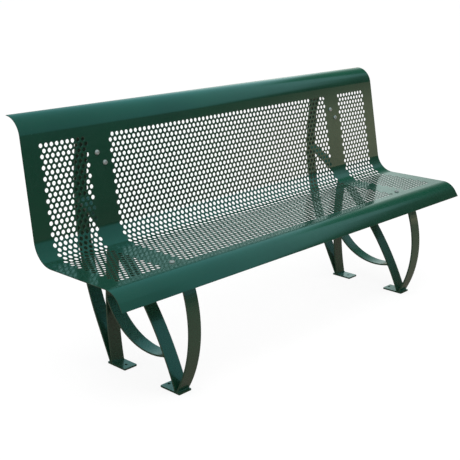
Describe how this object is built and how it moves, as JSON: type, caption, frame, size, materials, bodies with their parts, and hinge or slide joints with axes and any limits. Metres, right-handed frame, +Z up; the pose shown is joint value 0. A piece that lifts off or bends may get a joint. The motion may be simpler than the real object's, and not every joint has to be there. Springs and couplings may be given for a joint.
{
  "type": "park bench with back",
  "caption": "Park bench with a back: one bent steel sheet forms the seat and back, bolted on two welded leg frames of bowed flat bar with bolt-down foot plates.",
  "frame": {"origin": "under the middle of the bench's box, on the ground plane that the four foot plates rest on", "axes": "+X along the bench, to the right as seen from the front; +Y from the front lip towards the back; +Z up"},
  "size_m": [1.81, 0.5622, 0.8545],
  "materials": {
    "shell_green": "glossy dark green powder coat on sheet steel",
    "frame_green": "satin dark green powder coat on flat bar",
    "zinc_steel": "bright zinc plate, slightly dulled"
  },
  "bodies": {
    "root": {"seat_shell": "shell_green", "left_rear_upright": "frame_green", "left_rear_leg": "frame_green", "left_diagonal_bar": "frame_green", "left_front_bow": "frame_green", "left_lower_arc": "frame_green", "left_rear_foot_plate": "frame_green", "left_front_foot_plate": "frame_green", "left_upper_back_bolt": "zinc_steel", "left_upper_back_washer": "zinc_steel", "left_upper_back_nut": "zinc_steel", "left_lower_back_bolt": "zinc_steel", "left_lower_back_washer": "zinc_steel", "left_lower_back_nut": "zinc_steel", "left_seat_bolt": "zinc_steel", "left_seat_washer": "zinc_steel", "left_seat_nut": "zinc_steel", "right_rear_upright": "frame_green", "right_rear_leg": "frame_green", "right_diagonal_bar": "frame_green", "right_front_bow": "frame_green", "right_lower_arc": "frame_green", "right_rear_foot_plate": "frame_green", "right_front_foot_plate": "frame_green", "right_upper_back_bolt": "zinc_steel", "right_upper_back_washer": "zinc_steel", "right_upper_back_nut": "zinc_steel", "right_lower_back_bolt": "zinc_steel", "right_lower_back_washer": "zinc_steel", "right_lower_back_nut": "zinc_steel", "right_seat_bolt": "zinc_steel", "right_seat_washer": "zinc_steel", "right_seat_nut": "zinc_steel"}
  },
  "joints": []
}
